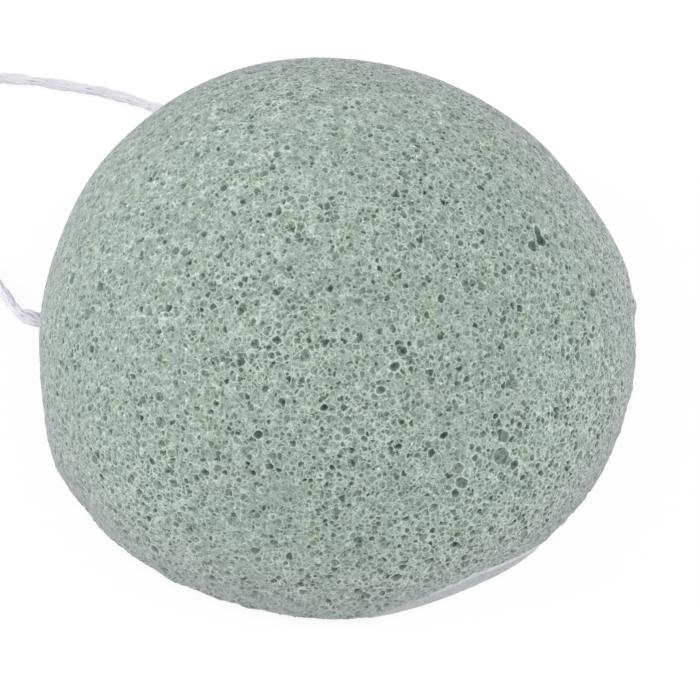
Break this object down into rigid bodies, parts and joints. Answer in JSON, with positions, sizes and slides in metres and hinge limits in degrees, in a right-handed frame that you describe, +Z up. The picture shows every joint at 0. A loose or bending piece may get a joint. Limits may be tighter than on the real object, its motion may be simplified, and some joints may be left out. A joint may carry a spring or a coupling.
{
  "type": "konjac sponge",
  "caption": "Half-ball open-cell konjac face sponge with a flat base and a cotton string loop that swings at the side to hang it up.",
  "frame": {"origin": "middle of the flat base, on the table", "axes": "+Z up through the crown of the half ball, +X to the right of the side that the picture shows from the front and above, +Y away from that side"},
  "size_m": [0.1415, 0.0884, 0.0426],
  "materials": {
    "konjac_foam": "matte open-cell foam, sage green",
    "cotton_string": "soft loosely twisted cotton, off-white"
  },
  "bodies": {
    "sponge": {"sponge_body": "konjac_foam", "threaded_string": "cotton_string"},
    "string_loop": {"string_front_strand": "cotton_string", "string_back_strand": "cotton_string", "string_knot": "cotton_string"}
  },
  "joints": [
    {"name": "loop_swing", "type": "hinge", "parent": "sponge", "child": "string_loop", "pos_m": [-0.04078, 0.00429, 0.005], "axis": [0.5592, 0.829, 0], "range_deg": [0, 105]}
  ]
}
